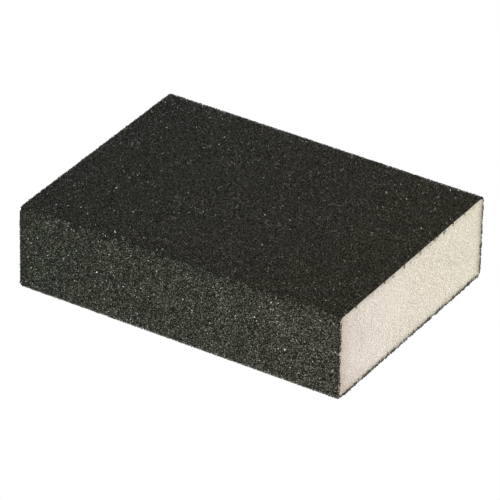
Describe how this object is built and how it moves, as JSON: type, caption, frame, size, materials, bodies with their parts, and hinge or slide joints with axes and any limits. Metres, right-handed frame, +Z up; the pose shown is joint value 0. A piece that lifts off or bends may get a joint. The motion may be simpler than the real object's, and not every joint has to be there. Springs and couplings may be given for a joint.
{
  "type": "sanding sponge",
  "caption": "Rectangular hand sanding block of cream foam, coated with dark coarse abrasive on its broad faces and long sides, with bare foam at the cut ends.",
  "frame": {"origin": "middle of the underside, on the surface that the sponge rests on", "axes": "+X along the length towards a cut end, +Y across the width, +Z up through the thickness"},
  "size_m": [0.1, 0.075, 0.0255],
  "materials": {
    "foam": "matte",
    "abrasive": "matte"
  },
  "bodies": {
    "root": {"foam_block": "foam", "abrasive_coat": "abrasive"}
  },
  "joints": []
}
